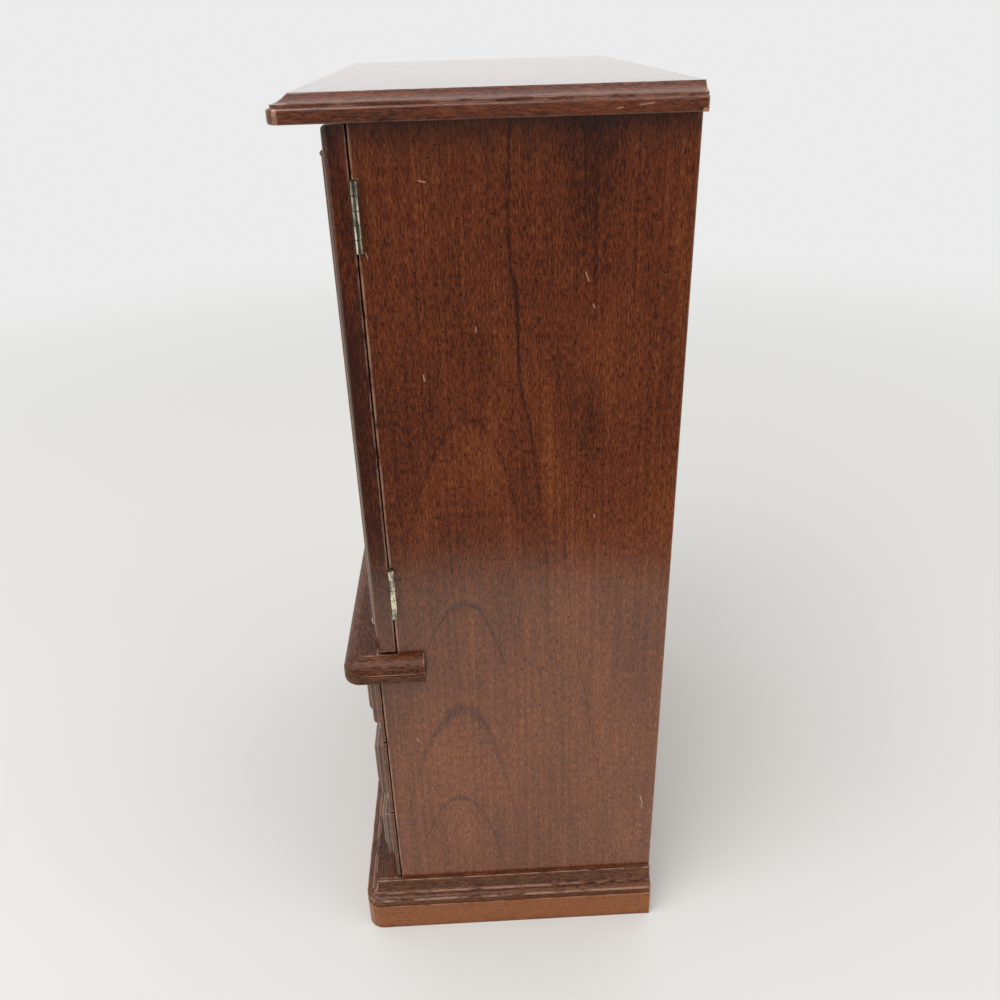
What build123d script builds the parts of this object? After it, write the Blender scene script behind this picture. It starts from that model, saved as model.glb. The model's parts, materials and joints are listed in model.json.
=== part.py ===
"""Tabletop cabinet of stained wood: two doors above three drawers, with a moulded top, waist and base.

Millimetres. The origin is at the centre of the footprint, on the surface that the cabinet stands on.
+X is to the right of someone who faces the doors, -Y is the front and +Z is up.
"""

import os
from math import acos, degrees, radians, sin

from build123d import *

os.makedirs("parts", exist_ok=True)

# ---------------------------------------------------------------- driving dimensions
# Carcass
cabinet_width = 239.6  # over the outer faces of the two side panels
panel_thickness = 8.0
panel_arris_radius = 0.8
lower_depth = 130.5  # side panels beside the drawers, back to front
upper_depth = 121.4  # side panels behind the doors
back_thickness = 3.2
back_rabbet_width = 5.0  # how far the back panel reaches over each side panel
dado_depth = 2.0  # housings that the level boards are let into
bottom_board_thickness = 8.0
waist_board_thickness = 12.7
divider_thickness = 4.0
drawer_front_overlap = 3.0  # the lowest drawer front reaches down over the bottom board

# Moulded base, a plinth under a grooved cap
base_side_reach = 7.0  # from the panel's face to the outermost face
base_front_reach = 18.9
base_corner_radius = 8.0
plinth_height = 16.0
base_groove_height = 3.4
base_groove_depth = 2.2
base_band_height = 1.0
base_step_width = 0.3
base_nose_width = 2.6
base_nose_height = 1.5
base_shelf_width = 0.3
base_quirk_height = 0.5
base_cove_width = 2.1
base_cove_height = 5.5
base_fillet_height = 1.4

# Waist moulding
waist_side_reach = 6.8
waist_front_reach = 15.6
waist_corner_radius = 8.0
waist_return_length = 21.2  # how far the returns run back from the drawer panels' front edge
waist_torus_radius = 1.5
waist_torus_height = 4.7
waist_quirk_height = 0.5
waist_ovolo_width = 6.0
waist_ovolo_height = 6.4

# Top board
top_side_reach = 7.2
top_front_reach = 16.5
top_corner_radius = 5.0
top_arris_radius = 0.8
top_band_height = 4.3
top_ovolo_width = 1.4
top_ovolo_height = 0.9
top_fillet_height = 1.0
top_cove_width = 5.8
top_cove_height = 3.2
top_cove_hollow = 0.7  # depth of the cove below a straight line between its ends

# Doors
door_height = 220.3
door_thickness = 8.5
door_gap_below = 1.6
door_gap_above = 0.7
door_gap_behind = 0.5
door_meeting_gap = 0.8
door_edge_setback = 0.2  # the door's outer edge lies this far inside the panel's face
door_arris_radius = 2.3
door_back_arris_radius = 0.5
bead_inset = 8.8
bead_width = 3.4
bead_rail_height = 2.3  # of the level strips
bead_upright_height = 1.8
bead_mitre_gap = 0.1

# Drawers, from the lowest up
drawer_front_heights = (45.0, 45.7, 39.3)
drawer_front_gap = 0.8  # between the fronts, and to the mouldings above and below
drawer_front_thickness = 7.8
drawer_front_seam = 0.4  # between a shut drawer front and the carcass
front_edge_thickness = 1.6
front_cove_width = 6.8
front_cove_height = 2.6
front_bead_radius = 1.6
front_step_width = 3.0
front_round_radius = 2.0
front_corner_radius = 1.2
drawer_side_thickness = 5.0
drawer_bottom_thickness = 2.5
drawer_bottom_lift = 3.0  # underside of the drawer bottom above the sides' lower edge
drawer_groove_depth = 2.5
drawer_side_clearance = 0.5
drawer_running_clearance = 0.3
drawer_top_clearance = 1.2
drawer_back_clearance = 3.0

# Butt hinges
hinge_length = 24.8
hinge_setback_below = 31.8  # from the door's lower end to the middle of the lower hinge
hinge_setback_above = 30.5
hinge_leaf_thickness = 0.8
hinge_leaf_end = 9.2  # far edge of the leaf from the pin's axis
hinge_barrel_radius = 1.35
hinge_barrel_offset = 1.6  # pin axis outside the panel's face
hinge_knuckles = 5
hinge_knuckle_gap = 0.1
hinge_leaf_relief = 0.25  # between a leaf's notches and the other leaf's knuckles
pin_radius = 0.75
pin_clearance = 0.05
mortise_clearance = 0.2
hinge_screw_spacing = 14.0

# Screws, knobs, catch and hooks
screw_shank_radius = 0.9
screw_head_radius = 1.55
screw_slot_width = 0.4
screw_slot_depth = 0.35
door_screw_length = 6.0
frame_screw_length = 9.0
pilot_clearance = 0.05
knob_base_radius = 3.0
knob_base_height = 0.9
knob_neck_radius = 1.9
knob_ball_radius = 3.8
knob_projection = 10.0
knob_bolt_radius = 1.2
knob_bolt_engagement = 5.5
knob_bolt_head_radius = 2.6
knob_bolt_head_height = 1.5
door_knob_inset = 5.4  # from the door's meeting edge
catch_width = 36.0
catch_depth = 9.0
catch_height = 7.0
catch_clearance = 0.3
catch_magnet_radius = 2.6
catch_magnet_length = 3.0
strike_inset = 10.0  # from the door's meeting edge
strike_radius = 3.0
strike_thickness = 1.0
strike_pin_radius = 0.6
strike_pin_length = 5.0
catch_screw_bite = 5.0
rail_depth = 12.0
rail_height = 12.0
rail_setback = 24.0  # from the back panel to the rail
hook_count = 7
hook_spacing = 28.0
hook_wire_radius = 0.6
hook_bend_radius = 3.0
hook_stand_off = 3.5
hook_curl = 120.0  # degrees that the wire turns up at its end
hook_height = 3.5  # above the rail's lower edge
hook_embedment = 4.0
felt_thickness = 1.0
felt_margin = 0.4
nail_margin = 18.0  # from the ends of the back panel to the nearest nails
nail_rows = 5
nail_shank_radius = 0.5
nail_length = 11.0
nail_head_radius = 1.2
nail_head_height = 0.5

# ---------------------------------------------------------------- places worked out from them
half_width = cabinet_width / 2
inner_half_width = half_width - panel_thickness
back_y = (lower_depth + base_front_reach) / 2
lower_front_y = back_y - lower_depth
upper_front_y = back_y - upper_depth
board_back_y = back_y - back_thickness
board_depth = board_back_y - lower_front_y

base_height = (
    plinth_height + base_groove_height + base_band_height + base_nose_height
    + base_quirk_height + base_cove_height + base_fillet_height
)
bottom_front_z = base_height + drawer_front_gap
middle_front_z = bottom_front_z + drawer_front_heights[0] + drawer_front_gap
top_front_z = middle_front_z + drawer_front_heights[1] + drawer_front_gap
waist_z = top_front_z + drawer_front_heights[2] + drawer_front_gap
waist_height = waist_torus_height + waist_quirk_height + waist_ovolo_height
waist_top_z = waist_z + waist_height
door_z = waist_top_z + door_gap_below
top_z = door_z + door_height + door_gap_above
top_thickness = top_band_height + top_ovolo_height + top_fillet_height + top_cove_height

bottom_board_z = bottom_front_z + drawer_front_overlap - bottom_board_thickness
lower_divider_z = middle_front_z - drawer_front_gap / 2 - divider_thickness / 2
upper_divider_z = top_front_z - drawer_front_gap / 2 - divider_thickness / 2
waist_board_z = waist_top_z - waist_board_thickness

door_back_y = upper_front_y - door_gap_behind
door_face_y = door_back_y - door_thickness
door_outer_x = half_width - door_edge_setback
door_inner_x = door_meeting_gap / 2
door_middle_z = door_z + door_height / 2

hinge_axis_x = half_width + hinge_barrel_offset
hinge_axis_y = door_back_y + hinge_barrel_radius
hinge_heights = (door_z + hinge_setback_below, door_z + door_height - hinge_setback_above)
mortise_floor_y = hinge_axis_y + hinge_barrel_radius
hinge_screw_x = half_width - panel_thickness / 2
hinge_screw_places = [
    (hinge_screw_x, height + offset)
    for height in hinge_heights
    for offset in (-hinge_screw_spacing / 2, hinge_screw_spacing / 2)
]

FACING_FRONT = (90, 0, 0)  # turns a location's +Z to the front
FACING_BACK = (-90, 0, 0)  # turns it to the back
FROM_LOW_CORNER = (Align.MIN, Align.MIN, Align.MIN)
FROM_MIDDLE_FRONT = (Align.CENTER, Align.MIN, Align.MIN)


# ---------------------------------------------------------------- helpers
def save(piece, name):
    """Label a finished piece and write it as its own STEP file."""
    piece.part.label = name
    export_step(piece.part, f"parts/{name}.step")


def save_pair(piece, name):
    """Write a right-hand piece, and its mirror image for the left."""
    save(piece, f"{name}_right")
    with BuildPart() as left:
        mirror(piece.part, about=Plane.YZ)
    save(left, f"{name}_left")


def cross_plane(height, place_y):
    """Plane across the cabinet: local x is to the right, local y is up, and it faces the front."""
    return Plane(origin=(0, place_y, height), x_dir=(1, 0, 0), z_dir=(0, -1, 0))


def depth_plane(height):
    """Plane through the middle: local x runs from the back to the front and local y is up."""
    return Plane(origin=(0, back_y, height), x_dir=(0, -1, 0), z_dir=(-1, 0, 0))


def top_edge(reach):
    """Half section of the top board: rounded arris, band, ovolo, fillet and shallow cove."""
    ovolo_x = reach - top_ovolo_width
    ovolo_z = top_band_height + top_ovolo_height
    cove_z = ovolo_z + top_fillet_height
    Line((0, 0), (reach - top_arris_radius, 0))
    CenterArc((reach - top_arris_radius, top_arris_radius), top_arris_radius, 270, 90)
    Line((reach, top_arris_radius), (reach, top_band_height))
    EllipticalCenterArc((ovolo_x, top_band_height), top_ovolo_width, top_ovolo_height, 0)
    Line((ovolo_x, ovolo_z), (ovolo_x, cove_z))
    SagittaArc((ovolo_x, cove_z), (ovolo_x - top_cove_width, top_thickness), top_cove_hollow)
    Line((ovolo_x - top_cove_width, top_thickness), (0, top_thickness))


def base_edge(reach):
    """Half section of the base: plinth, deep groove, band, rounded nose, shelf, quirk and cove."""
    band_z = plinth_height + base_groove_height
    nose_x = reach - base_step_width - base_nose_width
    nose_z = band_z + base_band_height
    shelf_x = nose_x - base_shelf_width
    shelf_z = nose_z + base_nose_height
    quirk_z = shelf_z + base_quirk_height
    cove_x = shelf_x - base_cove_width
    cove_top_z = quirk_z + base_cove_height
    Polyline((0, 0), (reach, 0), (reach, plinth_height))
    ThreePointArc(
        (reach, plinth_height),
        (reach - base_groove_depth, plinth_height + base_groove_height / 2),
        (reach, band_z),
    )
    Polyline((reach, band_z), (reach, nose_z), (reach - base_step_width, nose_z))
    EllipticalCenterArc((nose_x, nose_z), base_nose_width, base_nose_height, 0)
    Polyline((nose_x, shelf_z), (shelf_x, shelf_z), (shelf_x, quirk_z))
    EllipticalCenterArc((shelf_x, cove_top_z), base_cove_width, base_cove_height, 270, arc_size=-90)
    Polyline((cove_x, cove_top_z), (cove_x, base_height), (0, base_height))


def waist_edge(reach):
    """Half section of the waist moulding: torus, quirk and broad ovolo."""
    torus_top = waist_torus_height - waist_torus_radius
    ovolo_z = waist_torus_height + waist_quirk_height
    Line((0, 0), (reach - waist_torus_radius, 0))
    CenterArc((reach - waist_torus_radius, waist_torus_radius), waist_torus_radius, 270, 90)
    Line((reach, waist_torus_radius), (reach, torus_top))
    CenterArc((reach - waist_torus_radius, torus_top), waist_torus_radius, 0, 90)
    Polyline(
        (reach - waist_torus_radius, waist_torus_height),
        (reach - waist_torus_radius, ovolo_z),
        (reach, ovolo_z),
    )
    EllipticalCenterArc((reach - waist_ovolo_width, ovolo_z), waist_ovolo_width, waist_ovolo_height, 0)
    Line((reach - waist_ovolo_width, waist_height), (0, waist_height))


def moulded_slab(edge, height, side_reach, front_reach, thickness, corner_radius):
    """A slab over the whole footprint, with one moulded edge round its front and sides.

    The section across the cabinet and the section along its depth meet in mitred corners. The outer part
    of each front corner is then cut away, and the moulded edge is turned round it at the corner radius.
    """
    reach_x = half_width + side_reach
    reach_y = lower_depth + front_reach
    corner_x = reach_x - corner_radius
    corner_y = back_y - reach_y + corner_radius
    with BuildPart() as mitred:
        with BuildSketch(cross_plane(height, back_y)):
            with BuildLine():
                edge(reach_x)
                mirror(about=Plane.YZ)
            make_face()
        extrude(amount=reach_y)
        with BuildSketch(depth_plane(height)):
            with BuildLine():
                edge(reach_y)
                Line((0, 0), (0, thickness))
            make_face()
        extrude(amount=reach_x, both=True, mode=Mode.INTERSECT)
        for side in (-1, 1):
            with Locations((side * (corner_x + reach_x) / 2, corner_y, height)):
                Box(
                    corner_radius, corner_radius, thickness,
                    align=(Align.CENTER, Align.MAX, Align.MIN), mode=Mode.SUBTRACT,
                )
    with BuildPart() as corner:
        with BuildSketch(cross_plane(height, corner_y)):
            with BuildLine():
                edge(reach_x)
                Line((0, 0), (0, thickness))
            make_face()
            with Locations((corner_x, 0)):
                Rectangle(corner_radius, thickness, align=(Align.MIN, Align.MIN), mode=Mode.INTERSECT)
        revolve(axis=Axis((corner_x, corner_y, 0), (0, 0, -1)), revolution_arc=90)
    with BuildPart() as slab:
        add(mitred.part)
        add(corner.part)
        mirror(corner.part, about=Plane.YZ)
    return slab


def return_outline(side_reach, front_reach, length, side):
    """Plan of one return of a moulding, mitred where it meets the front strip."""
    outer_x = half_width + side_reach
    outer_y = lower_front_y - front_reach
    end_y = lower_front_y + length
    Polyline(
        (side * half_width, end_y),
        (side * outer_x, end_y),
        (side * outer_x, outer_y),
        (side * half_width, outer_y + side_reach),
        close=True,
    )


def three_sided_moulding(name, slab, height, side_reach, front_reach, thickness, length):
    """Cut the carcass out of a slab, and part what is left into a front strip and two returns."""
    with BuildPart() as ring:
        add(slab.part)
        with Locations((0, back_y, height)):
            Box(
                cabinet_width, lower_depth, thickness,
                align=(Align.CENTER, Align.MAX, Align.MIN), mode=Mode.SUBTRACT,
            )
    with BuildPart() as right:
        add(ring.part)
        with BuildSketch(Plane.XY.offset(height)):
            with BuildLine():
                return_outline(side_reach, front_reach, length, 1)
            make_face()
        extrude(amount=thickness, mode=Mode.INTERSECT)
    save_pair(right, name)
    with BuildPart() as front:
        add(ring.part)
        for side in (-1, 1):
            with BuildSketch(Plane.XY.offset(height)):
                with BuildLine():
                    return_outline(side_reach, front_reach, lower_depth, side)
                make_face()
            extrude(amount=thickness, mode=Mode.SUBTRACT)
    save(front, f"{name}_front")


def raised_section(half_size):
    """Half section of a drawer front: thin edge, cove, bead, flat step and rounded raised field."""
    cove_x = half_size - front_cove_width
    cove_y = front_edge_thickness + front_cove_height
    step_x = cove_x - front_bead_radius
    step_y = cove_y + front_bead_radius
    field_x = step_x - front_step_width
    round_y = drawer_front_thickness - front_round_radius
    Polyline((0, 0), (half_size, 0), (half_size, front_edge_thickness))
    EllipticalCenterArc((half_size, cove_y), front_cove_width, front_cove_height, 270, arc_size=-90)
    CenterArc((step_x, cove_y), front_bead_radius, 0, 90)
    Polyline((step_x, step_y), (field_x, step_y), (field_x, round_y))
    CenterArc((field_x - front_round_radius, round_y), front_round_radius, 0, 90)
    Line((field_x - front_round_radius, drawer_front_thickness), (0, drawer_front_thickness))


def level_board(height, thickness):
    """A level board across the carcass, let into both side panels."""
    with BuildPart() as board:
        with Locations((0, lower_front_y, height)):
            Box(2 * (inner_half_width + dado_depth), board_depth, thickness, align=FROM_MIDDLE_FRONT)
    return board


def countersunk_screw(length):
    """Slotted countersunk screw, head up, with the top of its head at z = 0."""
    head_height = screw_head_radius - screw_shank_radius
    with BuildPart() as screw:
        with BuildSketch(Plane.XZ):
            with BuildLine():
                Polyline(
                    (0, 0),
                    (screw_head_radius, 0),
                    (screw_shank_radius, -head_height),
                    (screw_shank_radius, -(length - 2 * screw_shank_radius)),
                    (0, -length),
                    close=True,
                )
            make_face()
        revolve(axis=Axis.Z)
        Box(
            2 * screw_head_radius, screw_slot_width, screw_slot_depth,
            align=(Align.CENTER, Align.CENTER, Align.MAX), mode=Mode.SUBTRACT,
        )
    return screw


def hinge_leaf(side, first_knuckle):
    """One leaf of a butt hinge about the Z axis; side is -1 for the door's leaf and 1 for the frame's."""
    pitch = hinge_length / hinge_knuckles
    inner_y = hinge_barrel_radius - hinge_leaf_thickness
    plate_end = hinge_barrel_radius + hinge_leaf_relief
    middle_y = side * (inner_y + hinge_leaf_thickness / 2)
    with BuildPart() as leaf:
        with Locations((-(hinge_leaf_end + plate_end) / 2, middle_y, 0)):
            Box(hinge_leaf_end - plate_end, hinge_leaf_thickness, hinge_length)
        for index in range(first_knuckle, hinge_knuckles, 2):
            knuckle_z = -hinge_length / 2 + index * pitch + hinge_knuckle_gap / 2
            with BuildSketch(Plane.XY.offset(knuckle_z)):
                Circle(hinge_barrel_radius)
                with Locations((0, middle_y)):
                    Rectangle(plate_end, hinge_leaf_thickness, align=(Align.MAX, Align.CENTER))
                Circle(pin_radius + pin_clearance, mode=Mode.SUBTRACT)
            extrude(amount=pitch - hinge_knuckle_gap)
        for offset in (-hinge_screw_spacing / 2, hinge_screw_spacing / 2):
            turn = FACING_BACK if side < 0 else FACING_FRONT
            with Locations(Location((hinge_screw_x - hinge_axis_x, side * inner_y, offset), turn)):
                CounterSinkHole(
                    screw_shank_radius + pilot_clearance,
                    screw_head_radius + pilot_clearance,
                    counter_sink_angle=90,
                )
    return leaf


def turned_knob():
    """Small turned ball knob on z = 0 with a blind hole for its bolt."""
    ball_z = knob_projection - knob_ball_radius
    dip = degrees(acos(knob_neck_radius / knob_ball_radius))
    with BuildPart() as knob:
        with BuildSketch(Plane.XZ):
            with BuildLine():
                Polyline(
                    (0, 0),
                    (knob_base_radius, 0),
                    (knob_base_radius, knob_base_height / 2),
                    (knob_base_radius - knob_base_height / 2, knob_base_height),
                    (knob_neck_radius, ball_z - knob_ball_radius * sin(radians(dip))),
                )
                CenterArc((0, ball_z), knob_ball_radius, -dip, 90 + dip)
                Line((0, knob_projection), (0, 0))
            make_face()
        revolve(axis=Axis.Z)
        with Locations((0, 0, 0)):
            Cylinder(
                knob_bolt_radius + pilot_clearance, knob_bolt_engagement + pilot_clearance,
                align=(Align.CENTER, Align.CENTER, Align.MIN), mode=Mode.SUBTRACT,
            )
    return knob


def knob_bolt(board_thickness):
    """Bolt through a board into the knob: the knob's seat is z = 0 and the head is behind the board."""
    with BuildPart() as bolt:
        with Locations((0, 0, -board_thickness - knob_bolt_head_height)):
            Cylinder(
                knob_bolt_head_radius, knob_bolt_head_height,
                align=(Align.CENTER, Align.CENTER, Align.MIN),
            )
        fillet(bolt.edges().group_by(Axis.Z)[0], knob_bolt_head_height / 2)
        with Locations((0, 0, -board_thickness)):
            Cylinder(
                knob_bolt_radius, board_thickness + knob_bolt_engagement,
                align=(Align.CENTER, Align.CENTER, Align.MIN),
            )
        with Locations((0, 0, -board_thickness - knob_bolt_head_height)):
            Box(
                2 * knob_bolt_head_radius, screw_slot_width, screw_slot_depth,
                align=(Align.CENTER, Align.CENTER, Align.MIN), mode=Mode.SUBTRACT,
            )
    return bolt


# ---------------------------------------------------------------- mouldings and top
top_slab = moulded_slab(
    top_edge, top_z, top_side_reach, top_front_reach, top_thickness, top_corner_radius
)
catch_screw_x = catch_width / 2 - 2 * screw_head_radius
catch_y = door_back_y + strike_thickness + catch_clearance
with BuildPart() as top_board:
    add(top_slab.part)
    with Locations((0, catch_y + catch_depth / 2, top_z)):
        with GridLocations(2 * catch_screw_x, 1, 2, 1):
            Cylinder(
                screw_shank_radius + pilot_clearance, catch_screw_bite + pilot_clearance,
                align=(Align.CENTER, Align.CENTER, Align.MIN), mode=Mode.SUBTRACT,
            )
save(top_board, "top_board")

waist_slab = moulded_slab(
    waist_edge, waist_z, waist_side_reach, waist_front_reach, waist_height, waist_corner_radius
)
three_sided_moulding(
    "waist_moulding", waist_slab, waist_z, waist_side_reach, waist_front_reach, waist_height,
    waist_return_length,
)
base_slab = moulded_slab(base_edge, 0, base_side_reach, base_front_reach, base_height, base_corner_radius)
three_sided_moulding(
    "base_moulding", base_slab, 0, base_side_reach, base_front_reach, base_height, lower_depth
)

# ---------------------------------------------------------------- carcass boards
level_boards = {
    "bottom_board": (bottom_board_z, bottom_board_thickness),
    "drawer_divider_lower": (lower_divider_z, divider_thickness),
    "drawer_divider_upper": (upper_divider_z, divider_thickness),
    "waist_board": (waist_board_z, waist_board_thickness),
}
for board_name, (board_z, board_thickness) in level_boards.items():
    save(level_board(board_z, board_thickness), board_name)

nail_x = inner_half_width + (dado_depth + back_rabbet_width) / 2  # outside the boards' ends
nail_middle_z = (bottom_board_z + top_z) / 2
nail_spacing = (top_z - bottom_board_z - 2 * nail_margin) / (nail_rows - 1)

with BuildPart() as side_panel:
    with BuildSketch(Plane.YZ.offset(inner_half_width)):
        with BuildLine():
            Polyline(
                (back_y, 0),
                (lower_front_y, 0),
                (lower_front_y, waist_top_z),
                (upper_front_y, waist_top_z),
                (upper_front_y, top_z),
                (back_y, top_z),
                close=True,
            )
        make_face()
    extrude(amount=panel_thickness)
    outer_edges = side_panel.edges().group_by(Axis.X)[-1]
    fillet(outer_edges.filter_by(Axis.Z), panel_arris_radius)
    with Locations((inner_half_width, board_back_y, bottom_board_z)):
        Box(
            back_rabbet_width, back_thickness, top_z - bottom_board_z,
            align=FROM_LOW_CORNER, mode=Mode.SUBTRACT,
        )
    for board_z, board_thickness in level_boards.values():
        with Locations((inner_half_width, lower_front_y, board_z)):
            Box(dado_depth, board_depth, board_thickness, align=FROM_LOW_CORNER, mode=Mode.SUBTRACT)
    for hinge_z in hinge_heights:
        with Locations((inner_half_width, upper_front_y, hinge_z)):
            Box(
                panel_thickness, mortise_floor_y - upper_front_y, hinge_length + 2 * mortise_clearance,
                align=(Align.MIN, Align.MIN, Align.CENTER), mode=Mode.SUBTRACT,
            )
    for screw_x, screw_z in hinge_screw_places:
        with Locations(Location((screw_x, mortise_floor_y - hinge_leaf_thickness, screw_z), FACING_FRONT)):
            Hole(screw_shank_radius + pilot_clearance, frame_screw_length + pilot_clearance)
    for row in range(nail_rows):
        row_z = nail_middle_z + (row - (nail_rows - 1) / 2) * nail_spacing
        with Locations(Location((nail_x, back_y, row_z), FACING_BACK)):
            Hole(nail_shank_radius + pilot_clearance, nail_length + pilot_clearance)
save_pair(side_panel, "side_panel")

with BuildPart() as back_panel:
    with Locations((0, board_back_y, bottom_board_z)):
        Box(
            2 * (inner_half_width + back_rabbet_width), back_thickness, top_z - bottom_board_z,
            align=FROM_MIDDLE_FRONT,
        )
    with Locations(Location((0, back_y, nail_middle_z), FACING_BACK)):
        with GridLocations(2 * nail_x, nail_spacing, 2, nail_rows):
            CounterBoreHole(
                nail_shank_radius + pilot_clearance,
                nail_head_radius + pilot_clearance,
                nail_head_height,
            )
save(back_panel, "back_panel")

with BuildPart() as back_nails:
    with Locations(Location((0, back_y, nail_middle_z), FACING_BACK)):
        with GridLocations(2 * nail_x, nail_spacing, 2, nail_rows):
            Cylinder(nail_head_radius, nail_head_height, align=(Align.CENTER, Align.CENTER, Align.MAX))
            Cylinder(nail_shank_radius, nail_length, align=(Align.CENTER, Align.CENTER, Align.MAX))
save(back_nails, "back_panel_nails")

# ---------------------------------------------------------------- inside the upper compartment
rail_y = board_back_y - rail_setback
hook_z = top_z - rail_height + hook_height
with BuildPart() as hook_rail:
    with Locations((0, rail_y, top_z)):
        Box(2 * inner_half_width, rail_depth, rail_height, align=(Align.CENTER, Align.MAX, Align.MAX))
    with Locations(Location((0, rail_y - rail_depth, hook_z), FACING_FRONT)):
        with GridLocations(hook_spacing, 1, hook_count, 1):
            Hole(hook_wire_radius + pilot_clearance, hook_embedment + pilot_clearance)
save(hook_rail, "hook_rail")

with BuildPart() as single_hook:
    with BuildLine(Plane.YZ) as hook_path:
        shank = Line((hook_embedment, 0), (-hook_stand_off, 0))
        JernArc(shank @ 1, shank % 1, hook_bend_radius, -hook_curl)
    with BuildSketch(Plane(origin=hook_path.line @ 0, z_dir=hook_path.line % 0)):
        Circle(hook_wire_radius)
    sweep(path=hook_path.line)
with BuildPart() as necklace_hooks:
    with Locations((0, rail_y - rail_depth, hook_z)):
        with GridLocations(hook_spacing, 1, hook_count, 1):
            add(single_hook.part)
save(necklace_hooks, "necklace_hooks")

felt_width = 2 * (inner_half_width - felt_margin)
with BuildPart() as felt_back:
    with Locations((0, board_back_y, waist_top_z + felt_thickness + felt_margin)):
        Box(
            felt_width, felt_thickness, top_z - waist_top_z - felt_thickness - 2 * felt_margin,
            align=(Align.CENTER, Align.MAX, Align.MIN),
        )
save(felt_back, "felt_back")

with BuildPart() as felt_floor:
    with Locations((0, upper_front_y + felt_margin, waist_top_z)):
        Box(
            felt_width, board_back_y - upper_front_y - 2 * felt_margin, felt_thickness,
            align=FROM_MIDDLE_FRONT,
        )
save(felt_floor, "felt_floor")

strike_x = door_inner_x + strike_inset
catch_middle_z = top_z - catch_height / 2
with BuildPart() as catch_body:
    with Locations((0, catch_y, top_z)):
        Box(catch_width, catch_depth, catch_height, align=(Align.CENTER, Align.MIN, Align.MAX))
    fillet(catch_body.edges().filter_by(Axis.Z), 1)
    with Locations(Location((0, catch_y, catch_middle_z), FACING_FRONT)):
        with GridLocations(2 * strike_x, 1, 2, 1):
            Hole(catch_magnet_radius, catch_magnet_length)
    with Locations(Location((0, catch_y + catch_depth / 2, top_z - catch_height), (180, 0, 0))):
        with GridLocations(2 * catch_screw_x, 1, 2, 1):
            CounterSinkHole(
                screw_shank_radius + pilot_clearance,
                screw_head_radius + pilot_clearance,
                counter_sink_angle=90,
            )
save(catch_body, "catch_body")

with BuildPart() as catch_magnets:
    with Locations(Location((0, catch_y, catch_middle_z), FACING_FRONT)):
        with GridLocations(2 * strike_x, 1, 2, 1):
            Cylinder(catch_magnet_radius, catch_magnet_length, align=(Align.CENTER, Align.CENTER, Align.MAX))
save(catch_magnets, "catch_magnets")

with BuildPart() as catch_screws:
    with Locations(Location((0, catch_y + catch_depth / 2, top_z - catch_height), (180, 0, 0))):
        with GridLocations(2 * catch_screw_x, 1, 2, 1):
            add(countersunk_screw(catch_height + catch_screw_bite).part)
save(catch_screws, "catch_screws")

# ---------------------------------------------------------------- hinges
frame_leaf = hinge_leaf(1, 0)
door_leaf = hinge_leaf(-1, 1)
with BuildPart() as frame_leaves:
    for hinge_z in hinge_heights:
        with Locations((hinge_axis_x, hinge_axis_y, hinge_z)):
            add(frame_leaf.part)
save_pair(frame_leaves, "hinge_frame_leaves")

with BuildPart() as door_leaves:
    for hinge_z in hinge_heights:
        with Locations((hinge_axis_x, hinge_axis_y, hinge_z)):
            add(door_leaf.part)
save_pair(door_leaves, "hinge_door_leaves")

with BuildPart() as hinge_pins:
    for hinge_z in hinge_heights:
        with Locations((hinge_axis_x, hinge_axis_y, hinge_z)):
            Cylinder(pin_radius, hinge_length)
save_pair(hinge_pins, "hinge_pins")

with BuildPart() as frame_hinge_screws:
    for screw_x, screw_z in hinge_screw_places:
        for side in (-1, 1):
            leaf_y = mortise_floor_y - hinge_leaf_thickness
            with Locations(Location((side * screw_x, leaf_y, screw_z), FACING_FRONT)):
                add(countersunk_screw(frame_screw_length).part)
save(frame_hinge_screws, "hinge_frame_screws")

with BuildPart() as door_hinge_screws:
    for screw_x, screw_z in hinge_screw_places:
        with Locations(Location((screw_x, door_back_y + hinge_leaf_thickness, screw_z), FACING_BACK)):
            add(countersunk_screw(door_screw_length).part)
save_pair(door_hinge_screws, "hinge_door_screws")

# ---------------------------------------------------------------- doors
door_width = door_outer_x - door_inner_x
door_knob_x = door_inner_x + door_knob_inset
with BuildPart() as door_panel:
    with Locations((door_inner_x, door_face_y, door_z)):
        Box(door_width, door_thickness, door_height, align=FROM_LOW_CORNER)
    fillet(door_panel.faces().sort_by(Axis.Y)[0].edges(), door_arris_radius)
    fillet(door_panel.faces().sort_by(Axis.Y)[-1].edges(), door_back_arris_radius)
    for screw_x, screw_z in hinge_screw_places:
        with Locations(Location((screw_x, door_back_y + hinge_leaf_thickness, screw_z), FACING_BACK)):
            Hole(screw_shank_radius + pilot_clearance, door_screw_length + pilot_clearance)
    with Locations(Location((door_knob_x, door_face_y, door_middle_z), FACING_FRONT)):
        Hole(knob_bolt_radius + pilot_clearance, door_thickness)
    with Locations(Location((strike_x, door_back_y, catch_middle_z), FACING_BACK)):
        Hole(strike_pin_radius + pilot_clearance, strike_pin_length + pilot_clearance)
save_pair(door_panel, "door_panel")

bead_frame_width = door_width - 2 * bead_inset
bead_frame_height = door_height - 2 * bead_inset
bead_centre = ((door_inner_x + door_outer_x) / 2, door_face_y, door_middle_z)


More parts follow.
